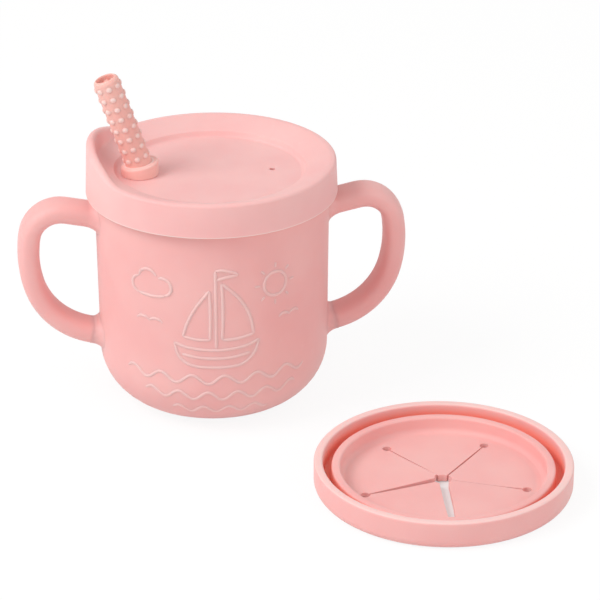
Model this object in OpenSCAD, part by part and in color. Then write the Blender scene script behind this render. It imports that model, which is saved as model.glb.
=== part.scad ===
// Toddler snack set in soft silicone: a two-handled cup, a lid with a drinking lip and a bumped straw,
// and a snack lid with five soft flaps that lies upside down beside the cup.
// Millimetres. +Z is up. The origin is the middle of the cup's base, X runs through the two handles,
// and -Y is the front.

/* [Cup] */
// Outside radius of the cup at its rim
cup_r = 38.8; // [34:0.1:46]
// How much narrower the cup is just above its rounded corner than at its rim
cup_draft = 0.8; // [0:0.1:2.5]
// Height of the cup's rim
cup_h = 81.5; // [74:0.5:110]
// Thickness of the cup's wall
cup_wall = 2.6; // [2:0.1:4]
// Thickness of the cup's floor
cup_floor = 3; // [2:0.1:6]
// Radius of the rounded corner between the cup's side and its base
cup_corner_r = 19; // [8:0.5:24]

/* [Handles] */
// Width of a handle, across the front of the cup
handle_w = 12.4; // [9:0.1:18]
// Thickness of a handle, in the plane of its loop
handle_t = 7.2; // [5:0.1:10]
// Radius that rounds the four long edges of a handle
handle_edge_r = 3.2; // [1:0.1:3.4]
// Height of the middle of a handle's upper root
handle_root_z = 66; // [60:0.5:66]
// Height of the middle of a handle's lower root
handle_foot_z = 24; // [20:0.5:30]
// Slope at which a handle rises from its upper root, in degrees
handle_rise = 12; // [0:1:20]
// Length of the nearly straight stretch at a handle's upper root
handle_run = 10.2; // [8:0.1:16]
// Radius of the bend at the top corner, to the middle of the handle
handle_top_r = 10; // [7:0.5:14]
// Angle that the top corner turns through, in degrees
handle_top_turn = 92; // [84:1:98]
// Radius of the slow bend down the side, to the middle of the handle
handle_side_r = 41; // [30:1:60]
// Angle that the slow bend turns through, in degrees
handle_side_turn = 25; // [15:1:30]
// Slope at which a handle comes up to its lower root, in degrees
handle_foot_slope = 8; // [0:1:15]
// How far a handle flares out on each side where it grows from the cup
handle_flare = 2.2; // [0.5:0.1:3]
// Length over which that flare dies away
handle_flare_run = 4.5; // [3:0.1:7]

/* [Straw lid] */
// Clearance all round between the cup's rim and a lid's groove
lid_gap = 0.3; // [0.2:0.05:0.6]
// Thickness of the straw lid's outer band near its top
band_wall = 1.9; // [1.4:0.1:3]
// How much the band spreads from its top to its lower edge
band_flare = 0.5; // [0:0.1:1]
// Height of the band, from its lower edge to the crest of the rim
band_h = 11.2; // [9:0.1:12]
// Thickness of the lid over the cup's rim
lid_roof = 2.4; // [1.8:0.1:4]
// Radius that rounds the crest of the rim
crest_r = 1.7; // [1:0.1:1.8]
// Width of the sloping rim, from the flat plate to the band's outer face
rim_w = 10; // [8.5:0.1:10.5]
// Depth of the plate below the crest of the rim
plate_drop = 5; // [3.5:0.1:6]
// Thickness of the plate
plate_t = 2.2; // [1.6:0.1:3]
// Thickness of the plug ring that fits inside the cup
plug_wall = 2.5; // [1.8:0.1:3]
// Depth of the plug ring below the roof of the groove
plug_depth = 7.3; // [7:0.1:12]
// Radius of the small air hole
vent_r = 1; // [0.6:0.1:2]
// Distance of the air hole from the middle of the lid
vent_at = 20; // [12:0.5:26]
// Direction of the straw and the drinking lip, in degrees from +X
lid_turn = 177.2; // [150:0.1:200]

/* [Drinking lip] */
// Height of the lip above the crest of the rim
lip_rise = 6.1; // [3:0.1:7]
// Thickness of the lip
lip_wall = 3; // [2.6:0.1:4]
// How far the lip's outer face is set back from the band's
lip_set = 0.2; // [0.1:0.05:0.5]
// Radius that rounds the lip's top edges
lip_edge_r = 1.3; // [0.6:0.1:1.5]
// Half the length of the level stretch of the lip
lip_half_flat = 12; // [8:0.5:16]
// Length of the S-shaped fall on each side of that stretch
lip_fall = 15; // [10:0.5:18]
// Radius of the scoop between the lip and the straw
scoop_r = 13.5; // [11:0.5:16]
// How far the scoop stops short of the lip's inner face
scoop_set = 0.4; // [0.2:0.05:1]
// Radius of the fillet round the bottom of the scoop
scoop_fillet = 3; // [1:0.1:4.4]
// Thickness that the scoop leaves over the groove
scoop_skin = 0.9; // [0.6:0.05:1.2]

/* [Straw] */
// Outside radius of the straw
straw_r = 4.2; // [3.8:0.1:5]
// Radius of the straw's bore
straw_bore_r = 3; // [2.5:0.1:3]
// Distance of the straw from the lip's inner face
straw_inset = 14.3; // [14:0.1:18]
// Running clearance of the straw in the lid's hole
straw_gap = 0.05; // [0.03:0.01:0.1]
// Lean of the mouthpiece towards the lip, in degrees
straw_lean = 19; // [6:1:25]
// Length of the mouthpiece from the bend to its tip
mouth_len = 32.5; // [26:0.5:40]
// Clearance between the straw's lower end and the cup's floor
straw_floor_gap = 5; // [2:0.5:12]
// Radius of the stop collar
collar_r = 6.15; // [5.6:0.05:6.5]
// Height of the collar at the middle
collar_h = 4; // [3:0.1:5]
// Slope of the collar's top, in degrees
collar_slope = 10; // [0:1:12]
// Bumps in one ring round the mouthpiece
bump_columns = 8; // [5:1:10]
// Rings of bumps along the mouthpiece
bump_rows = 8; // [3:1:9]
// Radius of a bump where it meets the mouthpiece
bump_r = 1.05; // [0.6:0.05:1.1]
// Height of a bump
bump_h = 0.5; // [0.3:0.05:0.8]
// Smooth length at the mouthpiece's tip
tip_smooth = 1.05; // [0.8:0.05:6]
// Smooth length between the bend and the first ring of bumps
neck_smooth = 1.75; // [1.5:0.05:6]

/* [Snack lid] */
// How much tighter the snack lid's skirt is than the cup's rim, so that it grips
snack_grip = 0.5; // [0:0.1:1]
// Thickness of the skirt
skirt_wall = 2.9; // [2:0.1:3.5]
// Height of the skirt
skirt_h = 9.4; // [8:0.1:14]
// Radius of the rounded corner under the skirt
skirt_corner_r = 3.1; // [1:0.1:3.5]
// Thickness of the inner ring
ring_wall = 2.9; // [2:0.1:3.5]
// Height of the inner ring
ring_h = 7.4; // [5:0.1:9]
// Radius that rounds the top edges of the skirt and the inner ring
ring_edge_r = 0.8; // [0.3:0.1:0.9]
// Radius of the fillet between the snack lid's plate and its inner ring
dish_r = 3.6; // [1:0.1:4]
// Thickness of the snack lid's plate and flaps
snack_plate_t = 2.2; // [1.6:0.1:3]
// Thickness of the floor of the groove
groove_floor = 2.6; // [2:0.1:4]
// Number of flaps
flaps = 5; // [5:1:5]
// Distance of the round holes at the ends of the slits from the middle
relief_at = 27; // [22:0.5:28]
// Radius of those holes
relief_r = 1.5; // [1.4:0.1:2]
// Radius of the hole in the middle
centre_hole_r = 2.8; // [2:0.1:5]
// Width of a slit
slit_w = 0.8; // [0.8:0.1:1.6]
// Clearance round the rounded root of a flap
flap_gap = 0.15; // [0.12:0.01:0.2]
// Direction of the first slit, in degrees from +X
slit_turn = 49.9; // [0:0.1:72]
// Free space on the table between the two lids
stand_gap = 19.6; // [5:0.1:60]
// Direction of the snack lid from the cup, in degrees from +X
stand_turn = -51.2; // [-80:0.1:-20]

/* [Hidden] */
$fn = 96;

// Silicone, in four shades of the one pink
cup_pink = [0.957, 0.70, 0.69];
lid_pink = [0.965, 0.745, 0.735];
straw_pink = [0.97, 0.66, 0.63];
snack_pink = [0.955, 0.69, 0.68];

// A cut runs this far past the face that it opens
over = 1;
// A hull's end shapes have this many sides and are this thin
hull_fn = 32;
hull_thin = 0.1;

cup_low_r = cup_r - cup_draft;
cup_in_r = cup_r - cup_wall;
rim_edge_r = cup_wall / 2;

groove_roof = cup_h + lid_gap;
lid_top = groove_roof + lid_roof;
band_foot = lid_top - band_h;
band_in_r = cup_r + lid_gap;
band_out_r = band_in_r + band_wall;
plug_out_r = cup_in_r - lid_gap;
// The groove's roof is round, like the rim that it holds
groove_r = (band_in_r - plug_out_r) / 2;
groove_c = [plug_out_r + groove_r, groove_roof - groove_r];
plug_in_r = plug_out_r - plug_wall;
plug_foot = groove_roof - plug_depth;
plate_r = band_out_r - rim_w;
plate_top = lid_top - plate_drop;
plate_under = plate_top - plate_t;
crest_c = [band_out_r - crest_r, lid_top - crest_r];
lip_top = lid_top + lip_rise;
lip_out_r = band_out_r - lip_set;
lip_in_r = lip_out_r - lip_wall;
straw_at = lip_in_r - straw_inset;
// The S-shaped fall is two equal arcs, one bulging and one hollow. It starts a little above the lip and
// ends this far under the rim, so that it meets both at clean edges.
lip_sink = 0.3;
lip_fall_h = lip_rise + lip_sink + 0.05;
lip_arc_r = (lip_fall_h * lip_fall_h + lip_fall * lip_fall) / (4 * lip_fall_h);

// The straw bends level with the low edge of its collar, which hides the bend
bend_z = plate_top + collar_h - collar_r * tan(collar_slope);
straw_foot = cup_floor + straw_floor_gap;
tip_edge_r = (straw_r - straw_bore_r) / 2;
bump_ball_r = (bump_r * bump_r + bump_h * bump_h) / (2 * bump_h);
bump_pitch = (mouth_len - neck_smooth - tip_smooth) / bump_rows;

skirt_in_r = cup_r - snack_grip;
skirt_out_r = skirt_in_r + skirt_wall;
ring_out_r = plug_out_r - lid_gap;
ring_in_r = ring_out_r - ring_wall;
flap_turn = 360 / flaps;
hinge_at = relief_at * cos(flap_turn / 2);
hinge_half = relief_at * sin(flap_turn / 2);
hinge_r = snack_plate_t / 2;
snack_at = band_out_r + band_flare + stand_gap + skirt_out_r;

// Outside radius of the cup at a height above its rounded corner
function cup_side_r(z) = cup_r - cup_draft * (cup_h - z) / (cup_h - cup_corner_r);

// Directions in the plane of a handle: along a heading, and to its right, where the bends have their centres
function ahead(a) = [cos(a), sin(a)];
function right_of(a) = [sin(a), -cos(a)];

// Point where a line from p touches the upper side of the circle at c with radius r
function touch_point(p, c, r) =
    let (d = p - c, a = atan2(d[1], d[0]) - acos(r / norm(d))) c + r * ahead(a);

// The middle line of a handle: a straight run, three bends and a short straight foot
head_0 = handle_rise;
head_1 = head_0 - handle_top_turn;
head_2 = head_1 - handle_side_turn;
head_3 = handle_foot_slope - 180;
run_from = [cup_side_r(handle_root_z), handle_root_z];
run_to = run_from + handle_run * ahead(head_0);
top_c = run_to + handle_top_r * right_of(head_0);
side_from = top_c - handle_top_r * right_of(head_1);
side_c = side_from + handle_side_r * right_of(head_1);
low_from = side_c - handle_side_r * right_of(head_2);
// The last bend's radius is what brings the handle down to its lower root
low_r = (low_from[1] - handle_foot_z) / (cos(head_2) - cos(head_3));
low_c = low_from + low_r * right_of(head_2);
foot_from = low_c - low_r * right_of(head_3);
foot_to = [cup_side_r(handle_foot_z) - cup_wall / 2, handle_foot_z];
foot_len = max(hull_thin, (foot_from[0] - foot_to[0]) / cos(handle_foot_slope));

// Section of a handle: x is its thickness and y its width
module handle_section(grow = 0) {
    e = handle_edge_r + max(grow, 0);
    x = handle_t / 2 + grow - e;
    y = handle_w / 2 + grow - e;
    square([2 * x, 2 * (y + e)], center = true);
    square([2 * (x + e), 2 * y], center = true);
    for (i = [-1, 1], j = [-1, 1]) {
        translate([i * x, j * y]) circle(e);
    }
}

// A bend of the handle that ends at a heading after turning clockwise
module handle_bend(c, r, heading_end, turn) {
    translate([c[0], 0, c[1]])
        rotate([90, 0, 0])
            rotate([0, 0, heading_end + 90])
                rotate_extrude(angle = turn)
                    translate([r, 0]) handle_section();
}

// A straight stretch of the handle along a heading
module handle_straight(from, heading, length, grow = 0) {
    translate([from[0], 0, from[1]])
        rotate([0, 90 - heading, 0])
            linear_extrude(length) handle_section(grow);
}

// The flare where a handle grows out of the cup's wall
module handle_root(z, heading) {
    at = [cup_side_r(z), z];
    hull($fn = hull_fn) {
        handle_straight(at - [cup_wall / 2, 0], 0, hull_thin, handle_flare);
        handle_straight(at + handle_flare_run * ahead(heading), heading, hull_thin, -0.2);
    }
}

module handle() {
    handle_straight(run_from - [cup_wall / 2, 0], head_0, handle_run + cup_wall / 2 / cos(head_0));
    handle_bend(top_c, handle_top_r, head_1, handle_top_turn);
    handle_bend(side_c, handle_side_r, head_2, handle_side_turn);
    handle_bend(low_c, low_r, head_3, head_2 - head_3);
    handle_straight(foot_from, head_3, foot_len);
    handle_root(handle_root_z, head_0);
    handle_root(handle_foot_z, head_3 + 180);
}

// Half outline of a tapered cup shape with a quarter-round corner at its foot
module cup_outline(low_r, top_r, foot, corner_r, top) {
    translate([low_r - corner_r, foot + corner_r])
        intersection() {
            circle(corner_r);
            translate([0, -corner_r]) square(corner_r);
        }
    polygon([
        [0, foot], [low_r - corner_r, foot], [low_r - corner_r, foot + corner_r],
        [low_r, foot + corner_r], [top_r, top], [0, top]
    ]);
}

module cup() {
    color(cup_pink) {
        difference() {
            union() {
                rotate_extrude()
                    cup_outline(cup_low_r, cup_r, 0, cup_corner_r, cup_h - rim_edge_r);
                for (side = [0, 180]) {
                    rotate([0, 0, side]) handle();
                }
            }
            rotate_extrude()
                cup_outline(cup_low_r - cup_wall, cup_in_r, cup_floor, cup_corner_r - cup_wall, cup_h);
        }
        rotate_extrude()
            translate([cup_r - rim_edge_r, cup_h - rim_edge_r]) circle(rim_edge_r);
    }
}

// Half outline of the straw lid without its lip
module straw_lid_outline() {
    slope_top = touch_point([plate_r, plate_top], crest_c, crest_r);
    difference() {
        union() {
            polygon([
                [0, plate_under], [plug_in_r, plate_under], [plug_in_r, plug_foot],
                [groove_c[0], plug_foot], [groove_c[0], band_foot],
                [band_out_r + band_flare, band_foot], [band_out_r, crest_c[1]], crest_c, slope_top,
                [plate_r, plate_top], [0, plate_top]
            ]);
            translate(crest_c) circle(crest_r);
        }
        translate(groove_c) circle(groove_r);
        translate([plug_out_r, band_foot - over]) square([2 * groove_r, groove_c[1] - band_foot + over]);
    }
}

// Front view of the lip: level in the middle, falling to the rim in an S on each side
module lip_outline() {
    foot = crest_r - lip_sink;
    top = foot + lip_fall_h;
    mid = lip_half_flat + lip_fall / 2;
    end = lip_half_flat + lip_fall;
    square([2 * lip_half_flat, 2 * (top + over)], center = true);
    for (side = [0, 1]) {
        mirror([side, 0]) {
            intersection() {
                translate([lip_half_flat, top - lip_arc_r]) circle(lip_arc_r);
                translate([lip_half_flat - over, 0]) square([lip_fall / 2 + over, top]);
            }
            difference() {
                translate([mid - over, 0]) square([lip_fall / 2 + over, foot + lip_fall_h / 2]);
                translate([end, foot + lip_arc_r]) circle(lip_arc_r);
            }
        }
    }
}

// The drinking lip: a raised stretch of the rim, cut to the lip's front view
module lip() {
    low = lid_top - crest_r;
    reach = asin(min(1, (lip_half_flat + lip_fall) / lip_in_r)) + 2;
    intersection() {
        rotate([0, 0, -reach])
            rotate_extrude(angle = 2 * reach) {
                translate([lip_in_r, low]) square([lip_wall, lip_top - lip_edge_r - low]);
                translate([lip_in_r + lip_edge_r, low])
                    square([lip_wall - 2 * lip_edge_r, lip_top - low]);
                for (r = [lip_in_r + lip_edge_r, lip_out_r - lip_edge_r]) {
                    translate([r, lip_top - lip_edge_r]) circle(lip_edge_r);
                }
            }
        translate([0, 0, low])
            rotate([90, 0, 90])
                linear_extrude(band_out_r + over) lip_outline();
    }
}

// What is scooped out of the rim's slope between the lip and the straw, down to the skin over the groove
module scoop() {
    cover_r = groove_r + scoop_skin;
    difference() {
        translate([lip_in_r - scoop_set - scoop_r, 0, plate_top])
            rotate_extrude() {
                square([scoop_r - scoop_fillet, lip_top]);
                translate([0, scoop_fillet]) square([scoop_r, lip_top]);
                translate([scoop_r - scoop_fillet, scoop_fillet]) circle(scoop_fillet);
            }
        rotate_extrude() {
            translate(groove_c) circle(cover_r);
            translate([groove_c[0] - cover_r, plate_top - over])
                square([2 * cover_r, groove_c[1] - plate_top + over]);
        }
    }
}

module straw_lid() {
    color(lid_pink)
        rotate([0, 0, lid_turn])
            difference() {
                union() {
                    rotate_extrude() straw_lid_outline();
                    lip();
                }
                scoop();
                translate([straw_at, 0, plate_under - over])
                    cylinder(r = straw_r + straw_gap, h = plate_t + 2 * over);
                translate([-vent_at, 0, plate_under - over])
                    cylinder(r = vent_r, h = plate_t + 2 * over);
            }
}

// The mouthpiece's tip, with a rounded edge
module tip() {
    translate([0, 0, mouth_len - tip_edge_r]) {
        cylinder(r = straw_r - tip_edge_r, h = tip_edge_r);
        rotate_extrude() translate([straw_r - tip_edge_r, 0]) circle(tip_edge_r);
    }
}

// One bump: a low round cap, sunk halfway into the wall
module bump() {
    sink = (straw_r - straw_bore_r) / 2;
    rotate_extrude()
        intersection() {
            translate([0, bump_h - bump_ball_r]) circle(bump_ball_r);
            translate([0, -sink]) square([2 * bump_ball_r, sink + bump_h + over]);
        }
}

// Rings of bumps over the middle of the mouthpiece
module bumps() {
    for (row = [0:bump_rows - 1], column = [0:bump_columns - 1]) {
        rotate([0, 0, column * 360 / bump_columns])
            translate([straw_r, 0, neck_smooth + (row + 0.5) * bump_pitch])
                rotate([0, 90, 0])
                    bump($fn = 24);
    }
}

// The stop collar, whose sloping top lies square to the mouthpiece
module collar() {
    intersection() {
        cylinder(r = collar_r, h = 2 * collar_h);
        translate([0, 0, collar_h])
            rotate([0, collar_slope, 0])
                translate([0, 0, -4 * collar_h]) cylinder(r = 2 * collar_r, h = 4 * collar_h);
    }
}

// Places a child, drawn upright on the bend, along the mouthpiece
module along_mouth() {
    translate([0, 0, bend_z])
        rotate([0, straw_lean, 0])
            children();
}

// The mouthpiece without its bore
module mouthpiece() {
    cylinder(r = straw_r, h = mouth_len - tip_edge_r);
    tip();
    bumps();
}

module straw() {
    // The two bores meet in a round knee, a little wider than they are
    knee_r = straw_bore_r / cos(straw_lean / 2) + 0.1;
    color(straw_pink)
        rotate([0, 0, lid_turn])
            translate([straw_at, 0, 0])
                difference() {
                    union() {
                        along_mouth() mouthpiece();
                        translate([0, 0, straw_foot]) cylinder(r = straw_r, h = bend_z - straw_foot);
                        translate([0, 0, plate_top]) collar();
                    }
                    translate([0, 0, straw_foot - over])
                        cylinder(r = straw_bore_r, h = bend_z - straw_foot + over);
                    translate([0, 0, bend_z]) sphere(knee_r);
                    along_mouth() cylinder(r = straw_bore_r, h = mouth_len + over);
                }
}

// Half outline of an upright ring with rounded top edges
module ring_outline(in_r, wall, foot, top) {
    e = ring_edge_r;
    translate([in_r, foot]) square([wall, top - foot - e]);
    translate([in_r + e, foot]) square([wall - 2 * e, top - foot]);
    for (r = [in_r + e, in_r + wall - e]) {
        translate([r, top - e]) circle(e);
    }
}

// Half outline of the snack lid, lying on its top face with its groove open upwards
module snack_lid_outline() {
    c = skirt_corner_r;
    square([ring_out_r, snack_plate_t]);
    translate([ring_in_r - dish_r, 0])
        difference() {
            square([dish_r + ring_wall / 2, snack_plate_t + dish_r]);
            translate([0, snack_plate_t + dish_r]) circle(dish_r);
        }
    translate([ring_in_r, 0]) square([skirt_out_r - c - ring_in_r, groove_floor]);
    intersection() {
        translate([skirt_out_r - c, c]) circle(c);
        translate([skirt_in_r - over, 0]) square([skirt_wall + over, c]);
    }
    ring_outline(skirt_in_r, skirt_wall, c, skirt_h);
    ring_outline(ring_in_r, ring_wall, 0, ring_h);
}

// Places a child, drawn round the middle of the snack lid, where that lid lies
module at_snack_lid() {
    rotate([0, 0, stand_turn])
        translate([snack_at, 0, 0])
            rotate([0, 0, -stand_turn + slit_turn])
                children();
}

// A round bar along the living hinge of flap k
module hinge_bar(k, r, half) {
    rotate([0, 0, (k - 0.5) * flap_turn])
        translate([hinge_at, 0, hinge_r])
            rotate([90, 0, 0]) cylinder(r = r, h = 2 * half, center = true);
}

// The holes that end the slits and stop them tearing
module relief_circles() {
    for (k = [1:flaps]) {
        translate(relief_at * ahead(k * flap_turn)) circle(relief_r);
    }
}

module snack_lid() {
    color(snack_pink)
        at_snack_lid()
            difference() {
                rotate_extrude() snack_lid_outline();
                translate([0, 0, -over])
                    linear_extrude(snack_plate_t + 2 * over) {
                        polygon([for (k = [1:flaps]) relief_at * ahead(k * flap_turn)]);
                        relief_circles();
                    }
                for (k = [1:flaps]) {
                    hinge_bar(k, hinge_r + flap_gap, hinge_half - relief_r / 3);
                }
            }
}

// One soft flap, with a rounded root along its living hinge
module flap(k) {
    half = flap_turn / 2;
    // The slits take half their width off each of the flap's two sides
    nose = slit_w / 2 / sin(half);
    side = (hinge_at - nose) * tan(half);
    color(snack_pink)
        at_snack_lid()
            difference() {
                union() {
                    rotate([0, 0, (k - 0.5) * flap_turn])
                        linear_extrude(snack_plate_t)
                            polygon([[nose, 0], [hinge_at, -side], [hinge_at, side]]);
                    hinge_bar(k, hinge_r, side);
                }
                translate([0, 0, -over])
                    linear_extrude(snack_plate_t + 2 * over) {
                        relief_circles();
                        circle(centre_hole_r);
                    }
            }
}

cup();
straw_lid();
straw();
snack_lid();
for (k = [1:flaps]) {
    flap(k);
}
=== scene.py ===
import math

import bmesh
import bpy
from mathutils import Matrix, Vector


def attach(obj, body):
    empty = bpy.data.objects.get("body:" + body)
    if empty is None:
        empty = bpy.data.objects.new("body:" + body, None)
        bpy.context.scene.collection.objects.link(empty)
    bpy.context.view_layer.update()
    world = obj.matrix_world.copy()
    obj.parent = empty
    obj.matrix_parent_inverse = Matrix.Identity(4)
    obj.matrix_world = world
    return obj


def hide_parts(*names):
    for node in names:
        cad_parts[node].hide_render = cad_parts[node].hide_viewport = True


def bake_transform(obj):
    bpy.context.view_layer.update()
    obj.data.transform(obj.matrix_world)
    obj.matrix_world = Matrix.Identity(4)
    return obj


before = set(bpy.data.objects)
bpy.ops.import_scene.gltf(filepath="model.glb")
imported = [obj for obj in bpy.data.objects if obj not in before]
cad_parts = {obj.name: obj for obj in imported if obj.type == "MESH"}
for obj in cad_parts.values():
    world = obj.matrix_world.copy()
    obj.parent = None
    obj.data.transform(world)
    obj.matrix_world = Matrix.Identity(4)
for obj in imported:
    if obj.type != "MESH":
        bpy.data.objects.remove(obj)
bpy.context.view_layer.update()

# View
# The camera stands a little above the lids and slightly to the left of the cup's front, far enough off
# for a long lens, so that upright lines stay nearly upright.
camera_at = Vector((-0.0897, -0.8473, 0.4311))
camera_aim = Vector((0.0384, 0.0645, 0.0))
camera = bpy.data.objects.new("camera", bpy.data.cameras.new("camera"))
camera.data.lens = 168
camera.data.sensor_width = 36
camera.data.clip_start = 0.05
camera.location = camera_at
camera.rotation_euler = (camera_aim - camera_at).to_track_quat("-Z", "Y").to_euler()
bpy.context.scene.collection.objects.link(camera)
bpy.context.scene.camera = camera
bpy.context.scene.view_settings.view_transform = "Standard"

# Table and light
# A white table, seen as white, that takes a faint shadow. A wide lamp stands up to the left, a weaker one
# to the right, and the room's walls fill in the rest.


class Signal:
    """An output of a shader node. Arithmetic on it adds Math nodes to the same tree."""

    def __init__(self, tree, socket=None):
        self.tree = tree
        self.socket = socket

    def node(self, kind, inputs, output=0, stops=None, **settings):
        """Adds a node of that kind with these settings, then sets or links its inputs."""
        made = self.tree.nodes.new(kind)
        for setting, value in settings.items():
            setattr(made, setting, value)
        if stops:
            ramp = made.color_ramp.elements
            while len(ramp) < len(stops):
                ramp.new(0.5)
            for element, (place, colour) in zip(ramp, stops):
                element.position = place
                element.color = colour
        for key, value in inputs.items():
            if isinstance(value, Signal):
                self.tree.links.new(value.socket, made.inputs[key])
            else:
                made.inputs[key].default_value = value
        return Signal(self.tree, made.outputs[output] if made.outputs else None)

    def calculated(self, operation, first, second):
        return self.node("ShaderNodeMath", {0: first, 1: second}, operation=operation)

    def __add__(self, other):
        return self.calculated("ADD", self, other)

    def __sub__(self, other):
        return self.calculated("SUBTRACT", self, other)

    def __rsub__(self, other):
        return self.calculated("SUBTRACT", other, self)

    def __mul__(self, other):
        return self.calculated("MULTIPLY", self, other)

    __radd__ = __add__
    __rmul__ = __mul__

    def band(self, low, high):
        """0 below low, 1 above high, and smooth between them."""
        return self.node("ShaderNodeMapRange", {"Value": self, "From Min": low, "From Max": high},
                         interpolation_type="SMOOTHSTEP")

    def mix(self, first, second):
        """A colour from first to second as this goes from 0 to 1."""
        return self.node("ShaderNodeMix", {"Factor": self, 6: first, 7: second}, output=2, data_type="RGBA")


def empty_tree(owner):
    """The node tree of a material or world with nothing in it."""
    owner.use_nodes = True
    owner.node_tree.nodes.clear()
    return Signal(owner.node_tree)


seen_white, table_shine = 0.86, 1.035
table_white, pure_white = (0.86, 0.86, 0.86, 1), (1, 1, 1, 1)
# The table carries a painted shade where the snack lid covers it, which shows through the lid's slits
covered_at, covered_from, covered_to, painted_shade_share = (0.0641, -0.0797, 0), 0.02, 0.035, 0.62
table_half, table_gap = 4, 0.0001
table_mesh = bmesh.new()
bmesh.ops.create_grid(table_mesh, x_segments=1, y_segments=1, size=table_half)
table = bpy.data.objects.new("table", bpy.data.meshes.new("table"))
table_mesh.to_mesh(table.data)
table_mesh.free()
table.location.z = -table_gap
bpy.context.scene.collection.objects.link(table)

table_paint = bpy.data.materials.new("table_white")
tree = empty_tree(table_paint)
ray = tree.node("ShaderNodeLightPath", {})
mirrored = Signal(tree.tree, ray.socket.node.outputs["Is Glossy Ray"])
seen = ray.calculated("MAXIMUM", ray, mirrored)
matt = tree.node("ShaderNodeBsdfDiffuse", {"Color": table_white})
bright = tree.node("ShaderNodeEmission", {"Color": pure_white, "Strength": table_shine})
place = tree.node("ShaderNodeTexCoord", {}, output="Object")
from_lid = place.node("ShaderNodeVectorMath", {0: place, 1: covered_at}, output=1, operation="DISTANCE")
# Painted shade: less of the seen white under the snack lid
under_lid_shade = 1 - from_lid.band(covered_from, covered_to)
shown = seen * (seen_white - under_lid_shade * painted_shade_share)
surface = tree.node("ShaderNodeMixShader", {0: shown, 1: matt, 2: bright})
tree.node("ShaderNodeOutputMaterial", {"Surface": surface})
table.data.materials.append(table_paint)

room_fill, room_tint = 0.645, (1, 0.985, 0.97, 1)
room = bpy.data.worlds.new("room")
bpy.context.scene.world = room
tree = empty_tree(room)
ray = tree.node("ShaderNodeLightPath", {})
walls = tree.node("ShaderNodeBackground", {"Color": room_tint, "Strength": room_fill})
white = tree.node("ShaderNodeBackground", {"Color": pure_white, "Strength": 1})
both = tree.node("ShaderNodeMixShader", {0: ray, 1: walls, 2: white})
tree.node("ShaderNodeOutputWorld", {"Surface": both})

# Each lamp: where it stands, the width of its square face, and its power
lamps_aim = Vector((0.03, -0.03, 0.04))
lamps = {
    "left_lamp": ((-0.76, -0.26, 0.86), 0.6, 6.9),
    "right_lamp": ((0.7, -0.7, 0.5), 0.5, 1.3),
}
for name, (place, width, power) in lamps.items():
    lamp = bpy.data.objects.new(name, bpy.data.lights.new(name, "AREA"))
    lamp.data.size = width
    lamp.data.energy = power
    lamp.location = place
    lamp.rotation_euler = (lamps_aim - Vector(place)).to_track_quat("-Z", "Y").to_euler()
    bpy.context.scene.collection.objects.link(lamp)

# Cup
# One moulding in soft silicone: a round cup with a big rounded foot, and its two loop handles. The mould
# was blasted, so the skin is matt and faintly grained, and thin edges let some light through.
MM = 0.001
cup_r, cup_low_r, cup_h = 38.8, 38.0, 81.5
cup_wall, cup_floor, cup_corner_r = 2.6, 3.0, 19.0
turns = 192
cup_pink = (0.895, 0.472, 0.456)
# Silicone varies between these shares of its colour. Scuffs have their own colour.
deep_share, light_share = (0.985, 0.94, 0.945), (1.01, 1.05, 1.045)
scuff_pink, scuff_share = (0.97, 0.80, 0.78, 1), 0.10
# Painted highlights on lit edges, and painted deep shade in grooves, have their own colours too
highlight_pink, groove_shade_pink = (0.98, 0.74, 0.71, 1), (1.0, 0.33, 0.25, 1)
least_rough, rough_spread = 0.46, 0.12


def silicone(name, colour, highlight_mask=None, groove_shade_mask=None):
    """Matt silicone with clouded colour, fine grain and soft shine. Masks tell where highlights and deep
    shade are painted.
    """
    material = bpy.data.materials.new(name)
    tree = empty_tree(material)
    place = tree.node("ShaderNodeTexCoord", {}, output="Object")
    cloud = tree.node("ShaderNodeTexNoise", {"Vector": place, "Scale": 38, "Detail": 3, "Roughness": 0.5})
    skin = tree.node("ShaderNodeTexNoise", {"Vector": place, "Scale": 2600, "Detail": 2, "Roughness": 0.6})
    scuff = tree.node("ShaderNodeTexNoise", {"Vector": place, "Scale": 240, "Detail": 4, "Roughness": 0.62})
    wave = tree.node("ShaderNodeTexNoise", {"Vector": place, "Scale": 55, "Detail": 2, "Roughness": 0.4})
    deep = tuple(c * k for c, k in zip(colour, deep_share)) + (1,)
    light = tuple(min(1, c * k) for c, k in zip(colour, light_share)) + (1,)
    tint = cloud.band(0.3, 0.7).mix(deep, light)
    scuffed = scuff.band(0.62, 0.82) * scuff_share
    tint = scuffed.mix(tint, scuff_pink)
    # Painted highlights on edges and raised parts
    if highlight_mask:
        tint = highlight_mask(place).mix(tint, highlight_pink)
    # Painted deep shade, with bounced light, in grooves
    if groove_shade_mask:
        tint = groove_shade_mask(place).mix(tint, groove_shade_pink)
    grainy = tree.node("ShaderNodeBump", {"Strength": 0.35, "Distance": 0.00005, "Height": skin})
    swell = {"Strength": 0.35, "Distance": 0.0002, "Height": wave, "Normal": grainy}
    soft = tree.node("ShaderNodeBump", swell)
    shader = tree.node("ShaderNodeBsdfPrincipled", {
        "Base Color": tint,
        "Roughness": least_rough + scuff * rough_spread,
        "Normal": soft,
        "IOR": 1.41,
        "Subsurface Weight": 0.22,
        "Subsurface Radius": (1.0, 0.42, 0.34),
        "Subsurface Scale": 0.0016,
        "Sheen Weight": 0.06,
        "Sheen Roughness": 0.5,
    })
    tree.node("ShaderNodeOutputMaterial", {"Surface": shader})
    return material


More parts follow.
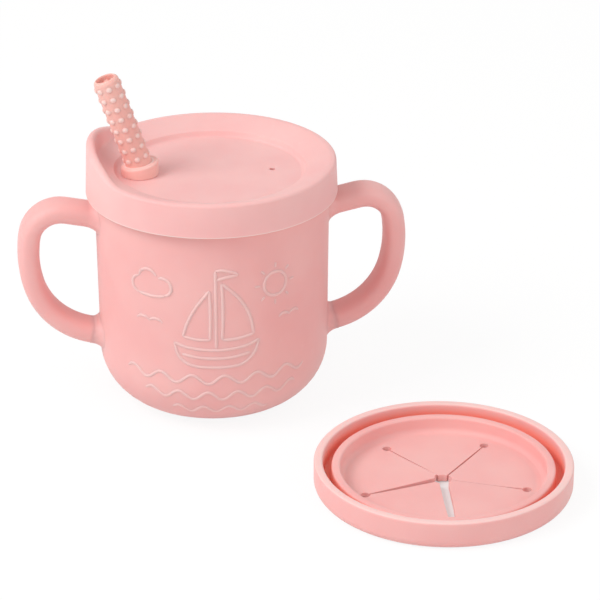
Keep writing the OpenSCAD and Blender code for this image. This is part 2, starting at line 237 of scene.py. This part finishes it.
def rounded(corners, steps=6):
    """Points along a path of corners (x, z, radius), where each inner corner becomes an arc."""
    points = [Vector(corners[0][:2])]
    for before, corner, after in zip(corners, corners[1:], corners[2:]):
        middle = Vector(corner[:2])
        back, on = Vector(before[:2]) - middle, Vector(after[:2]) - middle
        turn = math.pi - back.angle(on)
        cut = min(corner[2] * math.tan(turn / 2), 0.499 * back.length, 0.499 * on.length)
        start, end = middle + back.normalized() * cut, middle + on.normalized() * cut
        # A quarter of a circle or any other arc is a curve of second degree with this weight
        weight = math.cos(turn / 2)
        for step in range(steps + 1):
            t = step / steps
            parts = ((1 - t) ** 2, 2 * weight * t * (1 - t), t ** 2)
            points.append((start * parts[0] + middle * parts[1] + end * parts[2]) / sum(parts))
    return points + [Vector(corners[-1][:2])]


def chain(mesh, points):
    """Edges through points (x, z) in the plane y = 0."""
    verts = [mesh.verts.new((x, 0, z)) for x, z in points]
    return verts, [mesh.edges.new(pair) for pair in zip(verts, verts[1:])]


def lathe(points, steps):
    """The shape that an outline makes when it turns once round the Z axis."""
    mesh = bmesh.new()
    verts, edges = chain(mesh, points)
    bmesh.ops.spin(mesh, geom=verts + edges, cent=(0, 0, 0), axis=(0, 0, 1), angle=math.tau, steps=steps,
                   use_merge=True)
    return clean(mesh)


def clean(mesh):
    """Joins doubled points and points every face outwards."""
    bmesh.ops.remove_doubles(mesh, verts=mesh.verts, dist=1e-4)
    bmesh.ops.dissolve_degenerate(mesh, edges=mesh.edges, dist=1e-5)
    bmesh.ops.recalc_face_normals(mesh, faces=mesh.faces)
    return mesh


crease = math.radians(40)


def piece(name, mesh, material):
    """An object in metres from a mesh in millimetres, smooth except across sharp creases."""
    bmesh.ops.scale(mesh, vec=(MM, MM, MM), verts=mesh.verts)
    made = bpy.data.objects.new(name, bpy.data.meshes.new(name))
    mesh.to_mesh(made.data)
    mesh.free()
    made.data.materials.append(material)
    made.data.shade_smooth()
    made.data.set_sharp_from_angle(angle=crease)
    bpy.context.scene.collection.objects.link(made)
    return made


def cup_side(height):
    """Outside radius of the cup at a height."""
    if height < cup_corner_r:
        rise = cup_corner_r - max(height, 0)
        return cup_low_r - cup_corner_r + math.sqrt(cup_corner_r ** 2 - rise ** 2)
    return cup_low_r + (cup_r - cup_low_r) * (height - cup_corner_r) / (cup_h - cup_corner_r)


cup_mesh = lathe(rounded([
    (0, 0, 0), (cup_low_r, 0, cup_corner_r), (cup_r, cup_h, cup_wall / 2),
    (cup_r - cup_wall, cup_h, cup_wall / 2), (cup_low_r - cup_wall, cup_floor, cup_corner_r - cup_wall),
    (0, cup_floor, 0)], steps=14), turns)
long_side, side_cuts = 30, 30
rows = [edge for edge in cup_mesh.edges if abs(edge.verts[0].co.z - edge.verts[1].co.z) > long_side]
bmesh.ops.subdivide_edges(cup_mesh, edges=rows, cuts=side_cuts, use_grid_fill=True)

# Handles: a rounded flat strap, bent three times, that flares where it grows out of the cup
handle_w, handle_t, handle_fill = 12.4, 7.2, 2.7
handle_root_z, handle_foot_z = 66.0, 24.0
handle_flare, handle_flare_run = 2.5, 3.6
handle_rise, handle_run, foot_slope = math.radians(12), 10.2, math.radians(8)
handle_bends = [(10.0, math.radians(92)), (41.0, math.radians(25))]
handle_sides, flare_steps, bend_pitch = 36, 9, 1.4


def heading(angle):
    """Direction in the plane y = 0, at an angle up from +X."""
    return Vector((math.cos(angle), 0, math.sin(angle)))


def rightward(angle):
    """Direction to the right of a heading, seen from the front."""
    return Vector((math.sin(angle), 0, -math.cos(angle)))


def cup_wall_x(y, height):
    """How far out along X the cup's wall lies."""
    return math.sqrt(max(cup_side(height) ** 2 - y ** 2, 0))


def flare(mesh, edges, slope):
    """Spreads the end of a handle into the cup's wall, tangent to it."""
    ring = sorted({v for e in edges for v in e.verts}, key=lambda v: v.index)
    middle = sum((v.co for v in ring), Vector()) / len(ring)
    starts = {}
    for v in ring:
        from_middle = v.co - middle
        out = Vector((0, from_middle.y / handle_w ** 2, from_middle.z / handle_t ** 2)).normalized()
        starts[v] = (v.co.copy(), out)
    for step in range(1, flare_steps + 2):
        turned = math.radians(90) * min(step, flare_steps) / flare_steps
        made = bmesh.ops.extrude_edge_only(mesh, edges=edges)["geom"]
        edges = [g for g in made if isinstance(g, bmesh.types.BMEdge) and g.is_boundary]
        moved = {}
        for v in starts:
            new = next(e.other_vert(v) for e in v.link_edges if e.other_vert(v) in made)
            start, out = starts[v]
            depth = start.x - cup_wall_x(start.y, start.z)
            spread = start + out * handle_flare * (1 - math.cos(turned))
            spread.z -= math.tan(slope) * depth * math.sin(turned)
            off_wall = depth * (1 - math.sin(turned))
            new.co = Vector((cup_wall_x(spread.y, spread.z) + off_wall, spread.y, spread.z))
            if step > flare_steps:
                new.co.x -= cup_wall / 2
            moved[new] = starts[v]
        starts = moved
    bmesh.ops.contextual_create(mesh, geom=edges)


def handle():
    """One handle, on the +X side."""
    mesh = bmesh.new()
    ring = bmesh.ops.create_circle(mesh, segments=handle_sides, radius=1)["verts"]
    begin = Vector((cup_side(handle_root_z), 0, handle_root_z)) + heading(handle_rise) * handle_flare_run
    for v in ring:
        x, y = (math.copysign(abs(c) ** (2 / handle_fill), c) for c in (v.co.x, v.co.y))
        v.co = begin + rightward(handle_rise) * x * handle_t / 2 + Vector((0, y * handle_w / 2, 0))
    mesh.verts.index_update()
    edges = first = list(mesh.edges)

    def straight(edges, along, steps):
        for _ in range(steps):
            made = bmesh.ops.extrude_edge_only(mesh, edges=edges)["geom"]
            ring = [g for g in made if isinstance(g, bmesh.types.BMVert)]
            bmesh.ops.translate(mesh, vec=along / steps, verts=ring)
            edges = [g for g in made if isinstance(g, bmesh.types.BMEdge) and g.is_boundary]
        return edges

    def bend(edges, centre, turn, steps):
        ring = list({v for e in edges for v in e.verts})
        made = bmesh.ops.spin(mesh, geom=edges + ring, cent=centre, axis=(0, 1, 0), angle=turn, steps=steps)
        return [g for g in made["geom_last"] if isinstance(g, bmesh.types.BMEdge)]

    at, angle = begin, handle_rise
    along = heading(angle) * (handle_run - handle_flare_run)
    edges, at = straight(edges, along, 3), at + along
    for radius, turn in handle_bends:
        centre = at + rightward(angle) * radius
        edges = bend(edges, centre, turn, max(8, round(turn * radius / bend_pitch)))
        angle -= turn
        at = centre - rightward(angle) * radius
    # The last bend's radius is what brings the handle down to its lower root
    last = foot_slope - math.pi
    radius = (at.z - handle_foot_z) / (math.cos(angle) - math.cos(last))
    centre = at + rightward(angle) * radius
    edges = bend(edges, centre, angle - last, 28)
    at = centre - rightward(last) * radius
    gap = (at.x - cup_side(handle_foot_z)) / math.cos(foot_slope) - handle_flare_run
    edges = straight(edges, heading(last) * gap, 2)
    mesh.verts.index_update()
    flare(mesh, edges, foot_slope)
    mesh.verts.index_update()
    flare(mesh, first, handle_rise)
    return clean(mesh)


def join(mesh, other):
    """Adds another mesh to a mesh."""
    held = bpy.data.meshes.new("held")
    other.to_mesh(held)
    other.free()
    mesh.from_mesh(held)
    bpy.data.meshes.remove(held)


for side in (0, math.pi):
    loop = handle()
    bmesh.ops.rotate(loop, cent=(0, 0, 0), matrix=Matrix.Rotation(side, 3, "Z"), verts=loop.verts)
    join(cup_mesh, loop)

# Picture on the cup's front: a sailing boat, waves, a cloud and the sun, in raised rounded lines that
# were cut into the mould. A line runs out thinner at its ends, and a painted highlight makes it paler than
# the wall.
picture_turn = math.radians(-95)
line_r, line_sunk, line_highlight_share = 0.6, 0.12, 0.3
end_share, end_growth = 0.62, 0.12


def on_cup(along, height):
    """Point on the cup's skin, from a distance along its front and a height."""
    radius = cup_side(height) - line_sunk
    angle = picture_turn + along / cup_r
    return Vector((radius * math.cos(angle), radius * math.sin(angle), height))


def arc(x, z, radius, start, end, squash=1.0, steps=20):
    """Points on an arc of the picture, between two angles in degrees."""
    angles = [math.radians(start + (end - start) * i / steps) for i in range(steps + 1)]
    return [(x + radius * math.cos(a), z + radius * squash * math.sin(a)) for a in angles]


wave_pitch = 0.8


def wave(start, end, height, rise, length):
    """Points on a row of waves."""
    count = round((end - start) / wave_pitch)
    spots = [start + (end - start) * i / count for i in range(count + 1)]
    return [(x, height + rise * math.sin(math.tau * (x - start) / length)) for x in spots]


def smoothed(spots, closed, pitch=0.5):
    """Closely spaced points on a smooth curve through a line's points."""
    spots = [Vector(spot) for spot in spots]
    count = len(spots)
    if count < 3:
        steps = max(2, round((spots[1] - spots[0]).length / pitch))
        return [spots[0].lerp(spots[1], i / steps) for i in range(steps + 1)]
    points = []
    for i in range(count if closed else count - 1):
        near = range(i - 1, i + 3)
        a, b, c, d = (spots[j % count] if closed else spots[min(max(j, 0), count - 1)] for j in near)
        steps = max(1, round((c - b).length / pitch))
        for step in range(steps):
            t = step / steps
            points.append(0.5 * (2 * b + (c - a) * t + (2 * a - 5 * b + 4 * c - d) * t ** 2
                                 + (3 * b - a - 3 * c + d) * t ** 3))
    return points if closed else points + [spots[-1]]


sun_x, sun_z, sun_r = 20.5, 53.5, 4.2
cloud_x, cloud_z = -21.5, 50.5
lines = [
    # Hull and its plank line
    [(-14, 34.5), (-9, 33), (0, 32.3), (9, 33.1), (14.5, 35)],
    [(14.5, 35), (12.8, 30.5), (9.6, 27.4), (5, 26.2), (-5, 26.2), (-9.8, 27.3), (-12.6, 30), (-14, 34.5)],
    [(-11.4, 30.6), (-5, 29.5), (4, 29.4), (11.4, 30.7)],
    # Mast and pennant
    [(0, 33), (0, 44), (0, 60.5)],
    [(0, 60.5), (3, 60.6), (7, 59), (3.4, 58.2), (0, 57.2)],
    # Main sail and foresail
    [(2, 56), (7.6, 50.5), (11.2, 44), (12.6, 37.3)],
    [(12.6, 37.3), (7.5, 36.2), (2, 36)],
    [(2, 36), (2.3, 46), (2, 56)],
    [(-2, 53.5), (-6.2, 48), (-9.2, 42.4), (-11, 37)],
    [(-11, 37), (-6.5, 36.1), (-2, 36)],
    [(-2, 36), (-1.8, 45), (-2, 53.5)],
    # Rows of waves
    wave(-33, 33, 21.5, 1.5, 11),
    wave(-25.5, 29, 15.5, 1.4, 10),
    wave(-16, 19, 9.8, 1.2, 9),
    # Sun
    arc(sun_x, sun_z, sun_r, 0, 360, steps=32),
    # Cloud
    arc(cloud_x - 5, cloud_z + 2.4, 2.9, 95, 265, steps=12),
    arc(cloud_x - 1.6, cloud_z + 5, 3.5, 25, 172, steps=12),
    arc(cloud_x + 3.8, cloud_z + 3, 3.1, -80, 115, steps=14),
    [(cloud_x - 5.2, cloud_z - 0.5), (cloud_x, cloud_z - 0.8), (cloud_x + 4.4, cloud_z - 0.2)],
    # Two gulls
    arc(-20.6, 40, 2.6, 20, 160, 0.7, 8),
    arc(-25.5, 40, 2.6, 20, 160, 0.7, 8),
    arc(24, 40.5, 2.2, 20, 160, 0.7, 8),
    arc(28.2, 40.5, 2.2, 20, 160, 0.7, 8),
]
lines += [[(sun_x + r * math.cos(a), sun_z + r * math.sin(a)) for r in (5.7, 7.4)]
          for a in (math.radians(45 * i) for i in range(8))]

drawing = bpy.data.curves.new("picture_lines", "CURVE")
drawing.dimensions = "3D"
drawing.bevel_resolution = 4
drawing.bevel_depth = line_r
drawing.use_fill_caps = True
for line in lines:
    closed = len(line) > 30 and (Vector(line[0]) - Vector(line[-1])).length < 1e-6
    spots = smoothed(line[:-1] if closed else line, closed)
    spline = drawing.splines.new("POLY")
    spline.points.add(len(spots) - 1)
    spline.use_cyclic_u = closed
    for i, (point, (x, z)) in enumerate(zip(spline.points, spots)):
        point.co = (*on_cup(x, z), 1)
        point.radius = 1 if closed else min(1, end_share + end_growth * min(i, len(spots) - 1 - i))
drawing_object = bpy.data.objects.new("picture_lines", drawing)
bpy.context.scene.collection.objects.link(drawing_object)
bpy.context.view_layer.update()
line_share = cup_mesh.verts.layers.float.new("raised_line")
plain = len(cup_mesh.verts)
cup_mesh.from_mesh(drawing_object.to_mesh())
for v in list(cup_mesh.verts)[plain:]:
    v[line_share] = 1
drawing_object.to_mesh_clear()
bpy.data.objects.remove(drawing_object)



def painted_line_highlight(place):
    """Painted highlight on the picture's lines, which makes them paler than the wall behind them."""
    return place.node("ShaderNodeAttribute", {}, output="Fac", attribute_name="raised_line") * line_highlight_share


cup_skin = silicone("cup_silicone", cup_pink, highlight_mask=painted_line_highlight)
cup = piece("cup_moulding", clean(cup_mesh), cup_skin)
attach(cup, "cup")
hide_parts("cup")

# Straw lid
# One silicone moulding that grips the cup's rim in a groove. It has an outer band and a broad rim that slopes
# gently to a sunk plate, and beside the straw the rim rises to a rounded lip to drink from.
lid_pink = (0.915, 0.52, 0.507)
lid_turn = math.radians(177.2)
band_in_r, band_out_r, band_foot_r, band_foot = 39.1, 41.0, 41.5, 73.0
lid_top, crest_r, crest_at, groove_roof = 84.2, 1.7, 39.0, 81.8
plate_top, plate_under = 79.2, 77.0
edge_r, edge_top, edge_step, edge_swell = 31.0, 81.1, 0.9, 1.1
plug_out_r, plug_in_r, plug_foot = 35.9, 33.4, 74.5
lip_turn, lip_rise, lip_reach = math.radians(-5.5), 6.6, 26.6
lip_in_r, lip_out_r, lip_edge_r = 37.8, 40.8, 1.45
straw_at, straw_hole_r = 23.5, 4.25
vent_at, vent_r, drill_over = 20.0, 1.0, 2
lip_roundness, lip_fade, lip_cutoff, lip_merge = 2.2, 0.02, 0.008, 2.2
scoop_half = math.radians(32)
lid_turns, hub_r = 360, 2


def lip_share(angle):
    """How much of the lip's height stands at an angle from its middle: a round back, fading at its ends."""
    across = abs(lip_out_r * math.sin(angle)) if math.cos(angle) > 0 else lip_out_r
    share = 1 - (across / lip_reach) ** lip_roundness
    return max(0, (share + math.sqrt(share * share + lip_fade)) / 2 - lip_cutoff)


def lid_outline(angle):
    """Half outline of the lid at an angle from the straw's direction."""
    share = lip_share(angle - lip_turn)
    top = lid_top + lip_rise * share
    held = min(1, lip_merge * share)
    turned = min(angle, math.tau - angle)
    edge = edge_r + edge_swell * max(0, 1 - (turned / scoop_half) ** 2)
    slope = (lid_top - edge_top) / (crest_at - edge)

    def rim(r):
        return edge_top + slope * (r - edge)

    inner = (1 - held) * crest_at + held * (lip_in_r + 0.12)
    foot = (1 - held) * 37 + held * (lip_in_r - 0.05)
    return rounded([
        (hub_r, plate_top, 0), (edge - edge_step, plate_top, 1.3), (edge, edge_top, 0.6),
        (foot, rim(foot), 0.2 + 1.2 * held), (inner, top, (1 - held) * 2.5 + held * lip_edge_r),
        ((1 - held) * band_out_r + held * lip_out_r, top, (1 - held) * crest_r + held * lip_edge_r),
        (band_foot_r, band_foot, 0.35), (band_in_r, band_foot, 0.3), (band_in_r, groove_roof, 0.8),
        (plug_out_r, groove_roof, 0.8), (plug_out_r, plug_foot, 0.5), (plug_in_r, plug_foot, 0.5),
        (plug_in_r, plate_under, 1), (hub_r, plate_under, 0)], steps=7)


def shaped_lathe(outline_at, count, steps, turn=0.0):
    """A lathe whose outline changes with the angle: rings are spun flat, then each is moved to its place."""
    mesh = bmesh.new()
    verts, edges = chain(mesh, [(1 + i, 0) for i in range(count)])
    bmesh.ops.spin(mesh, geom=verts + edges, cent=(0, 0, 0), axis=(0, 0, 1), angle=math.tau, steps=steps,
                   use_merge=True)
    bmesh.ops.remove_doubles(mesh, verts=mesh.verts, dist=1e-4)
    outlines = {}
    for v in mesh.verts:
        step = round(math.atan2(v.co.y, v.co.x) / math.tau * steps) % steps
        if step not in outlines:
            outlines[step] = outline_at(math.tau * step / steps)
        ring = round(math.hypot(v.co.x, v.co.y)) - 1
        r, z = outlines[step][ring]
        angle = math.tau * step / steps + turn
        v.co = (r * math.cos(angle), r * math.sin(angle), z)
    for ring in (0, count - 1):
        rim = [e for e in mesh.edges if e.is_boundary
               and all(abs(v.co.z - outlines[0][ring][1]) < 1e-3 for v in e.verts)]
        bmesh.ops.contextual_create(mesh, geom=rim)
    return clean(mesh)


def rod(radius, low, high, at, sides):
    """An upright round bar."""
    mesh = bmesh.new()
    bmesh.ops.create_cone(mesh, cap_ends=True, segments=sides, radius1=radius, radius2=radius,
                          depth=high - low)
    bmesh.ops.translate(mesh, vec=(*at, (low + high) / 2), verts=mesh.verts)
    return mesh


def cut(mesh, tool):
    """A mesh less another one."""
    held = []
    for part in (mesh, tool):
        one = bpy.data.objects.new("held", bpy.data.meshes.new("held"))
        part.to_mesh(one.data)
        part.free()
        bpy.context.scene.collection.objects.link(one)
        held.append(one)
    step = held[0].modifiers.new("cut", "BOOLEAN")
    step.object = held[1]
    step.operation = "DIFFERENCE"
    step.solver = "MANIFOLD"
    result = bmesh.new()
    result.from_object(held[0], bpy.context.evaluated_depsgraph_get())
    for one in held:
        bpy.data.objects.remove(one)
    return clean(result)


def towards(turn, distance):
    """Point at a distance from the Z axis in a direction."""
    return (distance * math.cos(turn), distance * math.sin(turn))


lid_mesh = shaped_lathe(lid_outline, len(lid_outline(0)), lid_turns, lid_turn)
for hole_r, hole_at, sides in ((straw_hole_r, straw_at, 64), (vent_r, -vent_at, 32)):
    drill = rod(hole_r, plate_under - drill_over, plate_top + drill_over, towards(lid_turn, hole_at), sides)
    lid_mesh = cut(lid_mesh, drill)


def painted_band_highlight(place):
    """Painted highlight on the thin lower edge of the band."""
    x_y_z = place.node("ShaderNodeSeparateXYZ", {0: place}, output=2)
    return 1 - x_y_z.band((band_foot + 0.2) * MM, (band_foot + 0.6) * MM)


lid_skin = silicone("lid_silicone", lid_pink, highlight_mask=painted_band_highlight)
lid = piece("straw_lid_moulding", lid_mesh, lid_skin)
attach(lid, "straw_lid")
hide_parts("straw_lid")

# Straw
# A silicone tube pushed up through the lid from below. A collar stops it on the plate, and the mouthpiece
# above it leans to the lip and carries rings of small round bumps that soothe gums.
straw_pink = (0.955, 0.495, 0.44)
straw_r, straw_bore_r, straw_lean = 4.2, 3.0, math.radians(19)
straw_foot, straw_bend, mouth_len = 8.0, 82.12, 32.5
collar_r, collar_h, collar_slope = 6.15, 4.0, math.radians(10)
bump_columns, bump_rows, bump_r, bump_h = 8, 8, 1.05, 0.5
bump_turn = math.radians(4)
neck_smooth, tip_smooth, tube_sides = 1.75, 1.05, 96
straw_tip, straw_seam = straw_bend + mouth_len, straw_foot + 30
straw_mesh = lathe(rounded([
    (straw_r, straw_seam, 0), (straw_r, straw_tip - 0.8, 1.6), (straw_r - 0.85, straw_tip, 0.4),
    (straw_bore_r + 0.12, straw_tip - 0.12, 0.2), (straw_bore_r, straw_tip - 0.5, 0.3),
    (straw_bore_r, straw_foot, 0.3), (straw_r, straw_foot, 0.3), (straw_r, straw_seam, 0)]), tube_sides)
long_tube, tube_cuts = 20, 60
rows = [edge for edge in straw_mesh.edges if abs(edge.verts[0].co.z - edge.verts[1].co.z) > long_tube]
bmesh.ops.subdivide_edges(straw_mesh, edges=rows, cuts=tube_cuts, use_grid_fill=True)
pitch = (mouth_len - neck_smooth - tip_smooth) / bump_rows
ball_r = (bump_r ** 2 + bump_h ** 2) / (2 * bump_h)
for row in range(bump_rows):
    for column in range(bump_columns):
        angle = math.tau * column / bump_columns + bump_turn
        ball = bmesh.ops.create_icosphere(straw_mesh, subdivisions=3, radius=ball_r)["verts"]
        height = straw_bend + neck_smooth + (row + 0.5) * pitch
        bmesh.ops.translate(straw_mesh, verts=ball, vec=(straw_r + bump_h - ball_r, 0, height))
        bmesh.ops.rotate(straw_mesh, verts=ball, cent=(0, 0, 0), matrix=Matrix.Rotation(angle, 3, "Z"))
# The mouthpiece leans, and the bend lies inside the collar
bend_half = 1
for v in straw_mesh.verts:
    above = min(max((v.co.z - straw_bend + bend_half) / (2 * bend_half), 0), 1)
    lean = Matrix.Rotation(straw_lean * above, 3, "Y")
    if above > 0:
        middle = Vector((0, 0, straw_bend))
        v.co = middle + lean @ (v.co - middle)
collar_in_r, collar_top = straw_r - 0.5, plate_top + collar_h
collar = lathe(rounded([
    (collar_in_r, plate_top, 0), (collar_r, plate_top, 0.35), (collar_r, collar_top, 0.75),
    (collar_in_r, collar_top, 0), (collar_in_r, plate_top, 0)]), tube_sides)
for v in collar.verts:
    if v.co.z > plate_top + collar_h / 2:
        v.co.z -= math.tan(collar_slope) * v.co.x
join(straw_mesh, collar)
bmesh.ops.translate(straw_mesh, vec=(straw_at, 0, 0), verts=straw_mesh.verts)
to_lip = Matrix.Rotation(lid_turn, 3, "Z")
bmesh.ops.rotate(straw_mesh, cent=(0, 0, 0), matrix=to_lip, verts=straw_mesh.verts)
leaning = to_lip @ Matrix.Rotation(straw_lean, 3, "Y") @ Vector((0, 0, 1))
bend_point = Vector((*towards(lid_turn, straw_at), straw_bend)) * MM


# Painted highlight on the straw's bumps, and a weaker one on its collar
bump_highlight_share, collar_highlight_less = 0.72, 0.5


def painted_straw_highlight(place):
    """Painted highlight on what stands proud of the tube, found by its distance from the mouthpiece's middle
    line.
    """
    from_bend = place.node("ShaderNodeVectorMath", {0: place, 1: bend_point}, operation="SUBTRACT")
    across = place.node("ShaderNodeVectorMath", {0: from_bend, 1: leaning}, operation="CROSS_PRODUCT")
    distance = place.node("ShaderNodeVectorMath", {0: across}, output=1, operation="LENGTH")
    height = place.node("ShaderNodeSeparateXYZ", {0: place}, output=2)
    proud = distance.band((straw_r + 0.1) * MM, (straw_r + 0.38) * MM)
    proud = proud * height.band((plate_top - 0.1) * MM, (plate_top + 0.1) * MM)
    collar_share = distance.band((straw_r + 0.7) * MM, (straw_r + 0.9) * MM)
    return proud * (bump_highlight_share - collar_share * collar_highlight_less)


straw_skin = silicone("straw_silicone", straw_pink, highlight_mask=painted_straw_highlight)
straw = piece("straw_moulding", clean(straw_mesh), straw_skin)
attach(straw, "straw")
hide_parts("straw")

# Snack lid
# It lies on its top face beside the cup. A skirt and an inner ring grip the cup's rim between them, and a
# thin plate closes the middle. The five flaps in that plate are its own sections, below.
snack_pink = (0.915, 0.487, 0.468)
snack_x, snack_y = 64.10, -79.73
slit_turn = math.radians(49.9)
flaps = 5
snack_plate_t, groove_floor, plate_flat_r = 2.2, 2.6, 29.0
ring_in_r, ring_out_r, ring_h = 32.7, 35.6, 7.4
dish_r = ring_in_r - plate_flat_r
# Shares of the painted deep shade in the groove and of the painted highlight on the skirt's top
groove_shade_share, skirt_highlight_share = 0.9, 0.6
skirt_in_r, skirt_out_r, skirt_h, skirt_corner_r = 38.3, 41.2, 9.4, 3.1
snack_mesh = lathe(rounded([
    (plate_flat_r, 1, 0), (plate_flat_r, 0, 0), (skirt_out_r, 0, skirt_corner_r), (skirt_out_r, skirt_h, 0.8),
    (skirt_in_r, skirt_h, 0.8), (skirt_in_r, groove_floor, 0.5), (ring_out_r, groove_floor, 0.5),
    (ring_out_r, ring_h, 0.8), (ring_in_r, ring_h, 0.8), (ring_in_r, snack_plate_t, dish_r),
    (plate_flat_r, snack_plate_t, 0), (plate_flat_r, 1, 0)], steps=8), 240)
bmesh.ops.translate(snack_mesh, vec=(snack_x, snack_y, 0), verts=snack_mesh.verts)


def painted_groove_shade(place):
    """Painted deep shade in the narrow groove between ring and skirt, for light that bounces from wall to
    wall.
    """
    from_middle = place.node("ShaderNodeVectorMath", {0: place, 1: Vector((snack_x, snack_y, 0)) * MM},
                             operation="SUBTRACT")
    flat = from_middle.node("ShaderNodeVectorMath", {0: from_middle, 1: (1, 1, 0)}, operation="MULTIPLY")
    distance = flat.node("ShaderNodeVectorMath", {0: flat}, output=1, operation="LENGTH")
    height = place.node("ShaderNodeSeparateXYZ", {0: place}, output=2)
    inside = distance.band((ring_out_r - 0.3) * MM, (ring_out_r - 0.1) * MM)
    inside = inside - distance.band((skirt_in_r + 0.1) * MM, (skirt_in_r + 0.3) * MM)
    low = height.band(1.5 * MM, 2.3 * MM) - height.band((ring_h - 2) * MM, (skirt_h - 0.6) * MM)
    return inside * low * groove_shade_share


def painted_skirt_highlight(place):
    """Painted highlight on the top of the skirt, for light that shines through its thin edge."""
    height = place.node("ShaderNodeSeparateXYZ", {0: place}, output=2)
    return height.band((skirt_h - 0.45) * MM, (skirt_h - 0.1) * MM) * skirt_highlight_share


snack_skin = silicone("snack_silicone", snack_pink, highlight_mask=painted_skirt_highlight, groove_shade_mask=painted_groove_shade)
snack = piece("snack_lid_moulding", clean(snack_mesh), snack_skin)
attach(snack, "snack_lid")
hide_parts("snack_lid")

# Flaps
# Five soft petals of the same moulding, parted by slits that end in round holes, so that a small hand
# can reach in. Each one bends along its root, and stands a little off from its neighbours.
relief_at, relief_r, centre_hole_r = 27.0, 1.5, 2.8
hinge_at = relief_at * math.cos(math.pi / flaps)
half = math.pi / flaps
flex, petal_steps, lift_power = 1.3, 40, 1.6
# Width of the slit before each flap, near the middle and near its round hole
slits = [(0.7, 0.5), (0.95, 0.55), (1.0, 0.6), (2.9, 2.2), (0.06, 0.7)]
slit_change_at, slit_change_run = 12, 12
# How far the tip of each flap is lifted
tip_lifts = [0.15, 1.1, 0.1, 0.25, 0.35]


def slit_half(pair, r):
    """Half the width of a slit at a distance from the middle."""
    near, far = pair
    share = min(max((r - slit_change_at) / slit_change_run, 0), 1)
    return (near + (far - near) * share * share) / 2


for k in range(flaps):
    middle_turn = slit_turn + math.tau * (k + 0.5) / flaps
    # Rings of points: wide apart on the petal, close at its root, and closest along the round holes
    distances = [centre_hole_r + i * 0.9 for i in range(20)]
    root = [hinge_at - 1.6 + i * 0.32 for i in range(12)]
    distances += [distance for distance in root if distance < relief_at - relief_r]
    distances += [relief_at - relief_r * math.cos(math.pi * i / 14) for i in range(15)]
    distances = sorted(distances + [plate_flat_r])
    flap_mesh = bmesh.new()
    verts, edges = chain(flap_mesh, [(d, 0) for d in distances])
    bmesh.ops.rotate(flap_mesh, cent=(0, 0, 0), matrix=Matrix.Rotation(-half, 3, "Z"), verts=verts)
    bmesh.ops.spin(flap_mesh, geom=verts + edges, cent=(0, 0, 0), axis=(0, 0, 1), angle=2 * half,
                   steps=petal_steps)
    for v in flap_mesh.verts:
        r, angle = math.hypot(v.co.x, v.co.y), math.atan2(v.co.y, v.co.x)
        pair = slits[(k + 1) % flaps] if angle > 0 else slits[k]
        room = half - math.asin(min(slit_half(pair, r) / r, 1)) if r < relief_at + relief_r - 0.01 else half
        if abs(r - relief_at) < relief_r:
            at_hole = math.acos((r * r + relief_at ** 2 - relief_r ** 2) / (2 * relief_at * r))
            room = min(room, half - at_hole)
        angle *= room / half
        v.co = (r * math.cos(angle), r * math.sin(angle), 0)
    top = bmesh.ops.extrude_face_region(flap_mesh, geom=flap_mesh.faces)["geom"]
    top_verts = [g for g in top if isinstance(g, bmesh.types.BMVert)]
    bmesh.ops.translate(flap_mesh, vec=(0, 0, snack_plate_t), verts=top_verts)
    clean(flap_mesh)
    for v in flap_mesh.verts:
        inward = max(hinge_at - v.co.x, 0) / hinge_at
        v.co.z += tip_lifts[k] * inward ** lift_power
    turned = Matrix.Rotation(middle_turn, 3, "Z")
    bmesh.ops.rotate(flap_mesh, cent=(0, 0, 0), matrix=turned, verts=flap_mesh.verts)
    bmesh.ops.translate(flap_mesh, vec=(snack_x, snack_y, 0), verts=flap_mesh.verts)
    petal = piece(f"flap_{k + 1}_petal", flap_mesh, snack_skin)
    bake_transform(petal)
    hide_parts(f"flap_{k + 1}")
